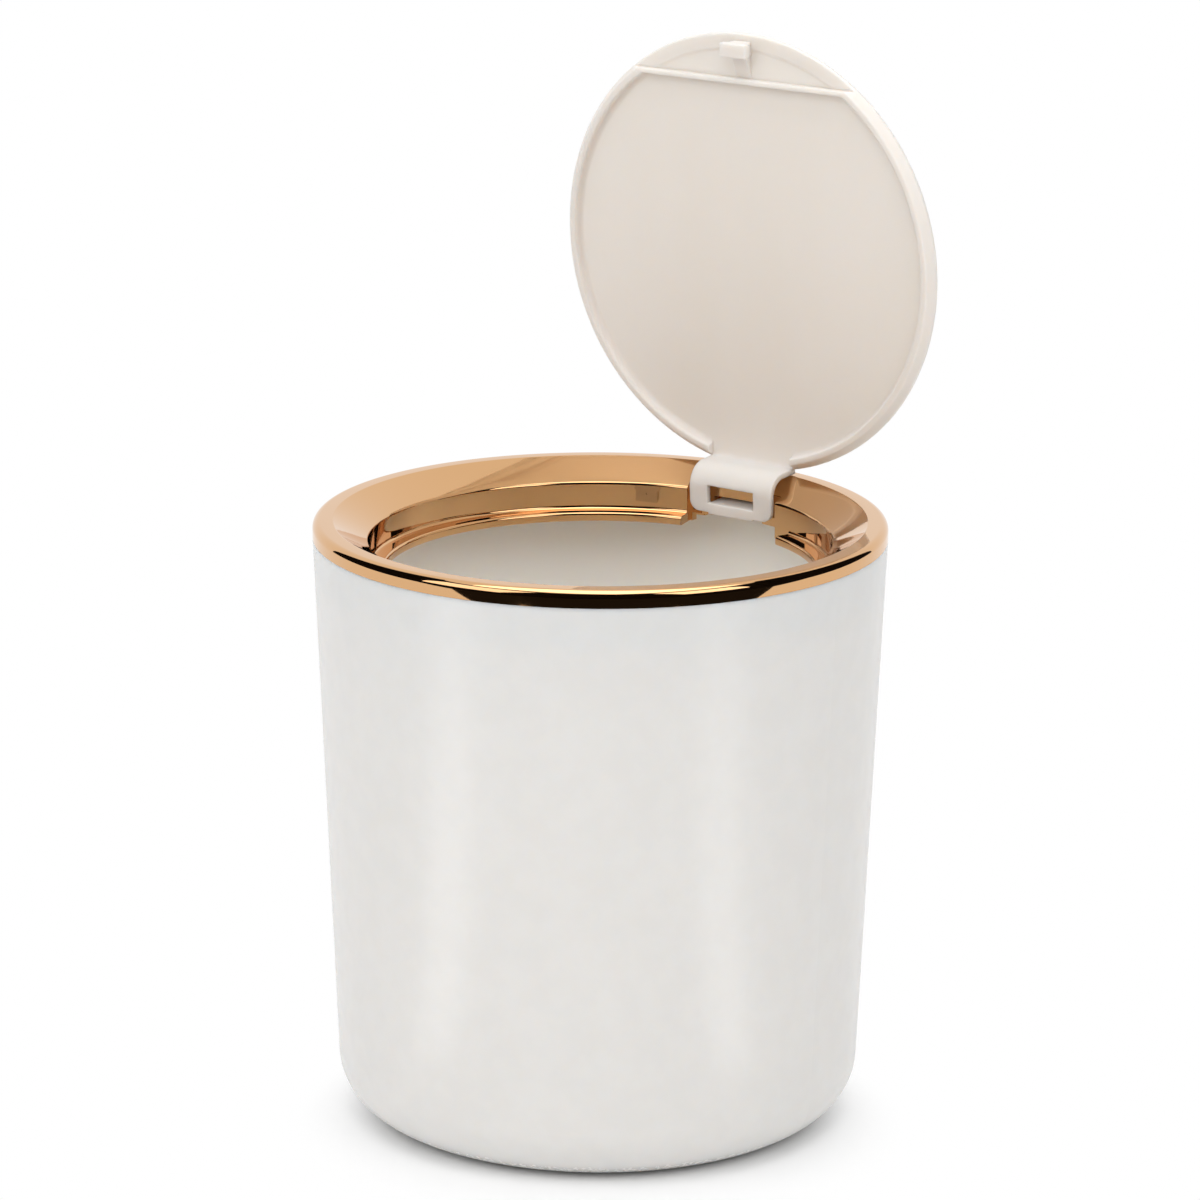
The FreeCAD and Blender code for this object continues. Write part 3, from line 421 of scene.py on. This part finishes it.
satin_can, net = new_net("satin_can")
x, y, z = axes(net, place_of(net))
nx, ny, nz = axes(net, net.node("ShaderNodeNewGeometry").beside("Normal"))
inwards = nz - (nx * x + ny * y) / (x * x + y * y + ON_AXIS).root()
# Painted light: faces turned towards the axis or up get a brighter, warmer ivory, for the light that comes through
# the wall.
painted_wall_glow = inwards.rise(-0.2, 0.2)
mottle = cloud(net, scale=140)
outer = net.mix(mottle.rise(*PATCHY), rgb(223, 222, 220), rgb(225, 224, 222))
scuffed = (1 - z.rise(SCUFF_FROM, SCUFF_TO)) * cloud(net, scale=700, detail=4.0).rise(0.45, 0.65)
outer = net.mix(scuffed * 0.12, outer, rgb(205, 203, 200))
color = net.mix(painted_wall_glow, outer, rgb(254, 247, 240))
gloss = cloud(net, scale=140, detail=3.0) * 0.04 + scuffed * 0.06 + 0.24
surface(net, cloud(net, GRAIN_SCALE), GRAIN_DEPTH, {"Base Color": color, "Roughness": gloss, **TRANSLUCENT})
print("can:", len(net.tree.nodes), "nodes")

# %% Warm white lid
LID_EDGE = 0.0007

warm_lid, net = new_net("warm_white_lid")
flow = cloud(net, scale=30, detail=3.0, stretch=(1.0, 1.0, 0.35))
color = net.mix(flow.rise(*PATCHY), rgb(228, 223, 217), rgb(230, 225, 220))
gloss = cloud(net, scale=80, detail=3.0) * 0.1 + 0.36
lid_inputs = {"Base Color": color, "Roughness": gloss, **TRANSLUCENT}
surface(net, cloud(net, GRAIN_SCALE), GRAIN_DEPTH, lid_inputs, LID_EDGE)
print("lid:", len(net.tree.nodes), "nodes")

# %% [markdown]
# ## Rose-gold plating
# The ring is plastic with a bright metal plating. It is a mirror, but not a perfect one: the moulding under it is a
# little wavy, and wiping leaves hair-fine circular marks and dull smudges. The waviness is a very shallow bump, and
# the marks and smudges only change the roughness.

# %% Plating
WIPE_SCALE = 5200
WAVE_SCALE, WAVE_DEPTH = 46, 0.00004
GOLD_DEEP, GOLD_PALE = (0.69, 0.405, 0.195, 1), (0.72, 0.43, 0.215, 1)

rose_plate, net = new_net("rose_gold_plate")
x, y, z = axes(net, place_of(net))
radius = (x * x + y * y).root()
smudge = cloud(net, scale=55, detail=4.0).rise(0.5, 0.75)
where = net.node("ShaderNodeCombineXYZ", {}, {0: radius, 1: z, 2: 0.0})
rings = net.node("ShaderNodeTexNoise", {}, {"Vector": where, "Scale": WIPE_SCALE, "Detail": 1.0}).rise(0.62, 0.75)
worn = rings * cloud(net, scale=120).rise(0.5, 0.7)
color = net.mix(cloud(net, scale=24), GOLD_DEEP, GOLD_PALE)
gloss = smudge * 0.035 + worn * 0.06 + 0.035
surface(net, cloud(net, WAVE_SCALE, detail=1.0), WAVE_DEPTH, {"Base Color": color, "Roughness": gloss, **METAL})
print("plating:", len(net.tree.nodes), "nodes")

# %% [markdown]
# ## Small hardware
# The pin is ground steel, the springs and the cam pin are drawn wire, the screws are zinc plated, and the latch is
# plain white plastic with a waxy acetal slider. None of them is large in the picture, but each is seen when the lid
# or the ring moves. Streaked noise gives grinding and drawing marks, and cells give the zinc its spangle.

# %% Steel and zinc
GRIND_DEPTH, DRAW_SCALE, DRAW_DEPTH = 0.000004, 3800, 0.000006
SPANGLE_SCALE, SPANGLE_DEPTH = 1500, 0.000006

ground_pin, net = new_net("ground_steel")
marks = cloud(net, scale=900, stretch=(6.0, 0.4, 0.4))
color = net.mix(marks, (0.52, 0.52, 0.53, 1), (0.64, 0.64, 0.65, 1))
surface(net, marks, GRIND_DEPTH, {"Base Color": color, "Roughness": marks * 0.14 + 0.16, **METAL})

drawn_wire, net = new_net("spring_wire")
oxide = cloud(net, scale=420, detail=4.0).rise(0.4, 0.75)
color = net.mix(oxide, (0.47, 0.47, 0.49, 1), (0.33, 0.32, 0.31, 1))
gloss = oxide * 0.2 + 0.24
surface(net, cloud(net, DRAW_SCALE), DRAW_DEPTH, {"Base Color": color, "Roughness": gloss, **METAL})

zinc, net = new_net("zinc")
spangle = net.node("ShaderNodeTexVoronoi", {}, {"Vector": place_of(net), "Scale": SPANGLE_SCALE})
color = net.mix(spangle.rise(0.1, 0.7), (0.58, 0.58, 0.60, 1), (0.49, 0.48, 0.44, 1))
surface(net, spangle, SPANGLE_DEPTH, {"Base Color": color, "Roughness": spangle * 0.15 + 0.26, **METAL})
print("three metal finishes")

# %% Latch plastics
LATCH_EDGE, RUB_DEPTH = 0.0003, 0.000008

latch_white, net = new_net("latch_white")
flow = cloud(net, scale=160, detail=3.0, stretch=(0.4, 1.0, 1.0))
color = net.mix(flow.rise(*PATCHY), rgb(216, 214, 210), rgb(226, 224, 220))
latch_inputs = {"Base Color": color, "Roughness": flow * 0.12 + 0.4}
surface(net, cloud(net, GRAIN_SCALE), GRAIN_DEPTH, latch_inputs, LATCH_EDGE)

acetal, net = new_net("acetal")
rubbed = cloud(net, scale=240, detail=3.0, stretch=(1.0, 1.0, 0.25)).rise(0.45, 0.7)
color = net.mix(rubbed, rgb(231, 229, 225), rgb(222, 219, 213))
slider_inputs = {"Base Color": color, "Roughness": 0.42 - rubbed * 0.16, **TRANSLUCENT}
surface(net, rubbed, RUB_DEPTH, slider_inputs, LATCH_EDGE)
print("two latch plastics")

# %% Finishes on the frame
finishes = {
    "can_white": satin_can, "rose_gold": rose_plate, "lid_white": warm_lid, "pin_steel": ground_pin,
    "spring_steel": drawn_wire, "latch_plastic": latch_white, "slider_plastic": acetal, "screw_steel": zinc,
}
for part in frame["record"]["subparts"]:
    piece = nodes[part["node"]]
    piece.data.materials.clear()
    piece.data.materials.append(finishes[part["material_slot"]])
print(len(finishes), "finishes on", len(nodes), "pieces")

# %% [markdown]
# ## The plating as a skin
# The solid ring comes in as flat facets, which is fine for white plastic, but a mirror shows every facet as a broken
# line. So the plated faces get a skin of their own, which is what plating is: a layer a few hundredths of a
# millimetre thick. Its profile is a line of corners, each rounded by a vertex bevel, and spun round the axis in fine
# steps. Three strips are needed, because the hinge arm's pocket and the gap beside it interrupt the lower ones.

# %% Skin helpers
SKIN, SAME_POINT = 0.05 * MM, 0.0005 * MM
CORNER_STEPS = 12
CREASE = math.radians(32)


def rounded_line(corners):
    """A line through corners of (radius, height, cut), in millimetres. Each corner is rounded off by its cut."""
    shape = bmesh.new()
    points = [shape.verts.new((radius * MM, 0, height * MM)) for radius, height, _ in corners]
    for ends in zip(points, points[1:]):
        shape.edges.new(ends)
    for point, (_, _, cut) in zip(points, corners):
        if cut:
            bmesh.ops.bevel(shape, geom=[point], offset=cut * MM, offset_type="OFFSET", segments=CORNER_STEPS,
                            profile=0.5, affect="VERTICES", material=-1)
    return shape


def spun_skin(shape, start, sweep, core):
    """Spin a line round the axis, by degrees. The core is a (radius, height) that its faces turn away from."""
    turn_round(shape, math.radians(start))
    sweep_round(shape, math.radians(sweep), round(sweep), use_merge=sweep == 360)
    bmesh.ops.remove_doubles(shape, verts=shape.verts[:], dist=SAME_POINT)
    bmesh.ops.recalc_face_normals(shape, faces=shape.faces[:])
    outwards = 0.0
    for face in shape.faces:
        middle = face.calc_center_median()
        inner = Vector((middle.x, middle.y, 0)).normalized() * core[0] * MM + UP * core[1] * MM
        outwards += face.normal.dot(middle - inner) * face.calc_area()
    if outwards < 0:
        bmesh.ops.reverse_faces(shape, faces=shape.faces[:])
    return shape


def plate_piece(name, shape):
    """Thicken a skin towards the ring, keep its border crisp, and let it ride with the ring."""
    bmesh.ops.solidify(shape, geom=shape.faces[:], thickness=SKIN)
    for face in shape.faces:
        face.smooth = True
    for edge in shape.edges:
        edge.smooth = len(edge.link_faces) == 2 and edge.calc_face_angle() < CREASE
    piece = piece_from(name, shape, rose_plate)
    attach(piece, "ring")
    corners = [vert.co for vert in piece.data.vertices]
    print(f"{name}: {len(piece.data.polygons)} faces, up to {max(c.z for c in corners) / MM:.3f} mm high,",
          f"{max(c.xy.length for c in corners) / MM:.3f} mm out")


# %% [markdown]
# ## Rim, wall and ledge
# The rim strip runs from the can's edge over the round nose and the flat, and down most of the funnel. The wall strip
# takes the funnel's foot and the recess wall, which stop at the arm's pocket. The ledge strip ends further from the
# arm on one side, and has a notch in front where the latch's jaws come up. Planes cut that notch.

# %% Rim and wall
POCKET_TURN, DOOR_TURN = 13.883, 19.81
BESIDE_ARM = 90 + POCKET_TURN
RIM_OUT, RIM_FOOT, RIM_TOP, FLAT_IN = 80.02, 165.93, 170.62, 74.35
WALL, WALL_TOP = 64.48, 164.748
FUNNEL_RISE = (170.6 - 164.68) / (74.55 - 64.6)
JOIN_RADIUS, JOIN_HEIGHT = 66.95, 158.2
FUNNEL_JOIN = WALL_TOP + (JOIN_RADIUS - WALL) * FUNNEL_RISE

rim_line = rounded_line([
    (RIM_OUT, RIM_FOOT, 0), (RIM_OUT, RIM_TOP, 2.2), (FLAT_IN, RIM_TOP, 0.2), (JOIN_RADIUS, FUNNEL_JOIN, 0),
])
plate_piece("rim_plate", spun_skin(rim_line, 0, 360, core=(73.0, 166.0)))

wall_line = rounded_line([(JOIN_RADIUS, FUNNEL_JOIN, 0), (WALL, WALL_TOP, 0.57), (WALL, JOIN_HEIGHT, 0)])
plate_piece("wall_plate", spun_skin(wall_line, BESIDE_ARM, 360 - 2 * POCKET_TURN, core=(67.0, 161.0)))

# %% Ledge
LEDGE_TOP, LIP, LIP_FOOT, LIP_BACK = 157.05, 59.75, 154.4, 62.5
JAW_HALF, JAW_FRONT = 7.0 * MM, -63.25 * MM


def over_jaws(face):
    middle = face.calc_center_median()
    return abs(middle.x) < JAW_HALF and middle.y < 0


ledge_line = rounded_line([
    (WALL, JOIN_HEIGHT, 0), (WALL, LEDGE_TOP, 1.1), (LIP, LEDGE_TOP, 0.9), (LIP, LIP_FOOT, 0.6),
    (LIP_BACK, LIP_FOOT, 0),
])
ledge = spun_skin(ledge_line, BESIDE_ARM, 360 - POCKET_TURN - DOOR_TURN, core=(66.6, 155.6))
for side in (-1, 1):
    bmesh.ops.bisect_plane(ledge, geom=ledge.verts[:] + ledge.edges[:] + ledge.faces[:],
                           plane_co=(side * JAW_HALF, 0, 0), plane_no=(1, 0, 0))
front = [face for face in ledge.faces if over_jaws(face)]
borders = list(dict.fromkeys(item for face in front for item in [*face.verts, *face.edges]))
bmesh.ops.bisect_plane(ledge, geom=front + borders, plane_co=(0, JAW_FRONT, 0), plane_no=(0, 1, 0))
notch = [face for face in ledge.faces if over_jaws(face) and face.calc_center_median().y > JAW_FRONT]
bmesh.ops.delete(ledge, geom=notch, context="FACES")
plate_piece("ledge_plate", ledge)

# %% [markdown]
# ## The latch's spring
# The push latch works against a small compression spring, which shortens as its slider goes down. A solid model's
# spring is rigid, and the slider would sink into it. This one is made as such springs are, by winding a round wire: a
# circle is spun and lifted at once, and the two ends are closed.

# %% Latch spring
COIL_TURNS, COIL_RADIUS, COIL_WIRE = 7, 2.05 * MM, 0.5 * MM
TURN_STEPS, WIRE_SIDES = 32, 14

low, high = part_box("latch_spring")
foot = Vector(((low.x + high.x) / 2, (low.y + high.y) / 2, low.z))
length = high.z - low.z
lift, steps = length - COIL_WIRE, COIL_TURNS * TURN_STEPS
shape = bmesh.new()
bmesh.ops.create_circle(shape, cap_ends=False, segments=WIRE_SIDES, radius=COIL_WIRE / 2,
                        matrix=Matrix.Rotation(math.radians(90), 4, "X"))
bmesh.ops.translate(shape, vec=foot + Vector((COIL_RADIUS, 0, COIL_WIRE / 2)), verts=shape.verts[:])
sweep_round(shape, 2 * math.pi * COIL_TURNS, steps, middle=foot, dvec=UP * lift / steps)
bmesh.ops.holes_fill(shape, edges=[edge for edge in shape.edges if edge.is_boundary], sides=0)
bmesh.ops.recalc_face_normals(shape, faces=shape.faces[:])
for face in shape.faces:
    face.smooth = len(face.verts) == 4
coil = piece_from("latch_coil", shape, drawn_wire)
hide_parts("latch_spring")
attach(coil, "ring")
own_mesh(coil)
print(f"latch spring: {COIL_TURNS} turns, {lift / MM:.2f} mm of rise, {len(coil.data.polygons)} faces")
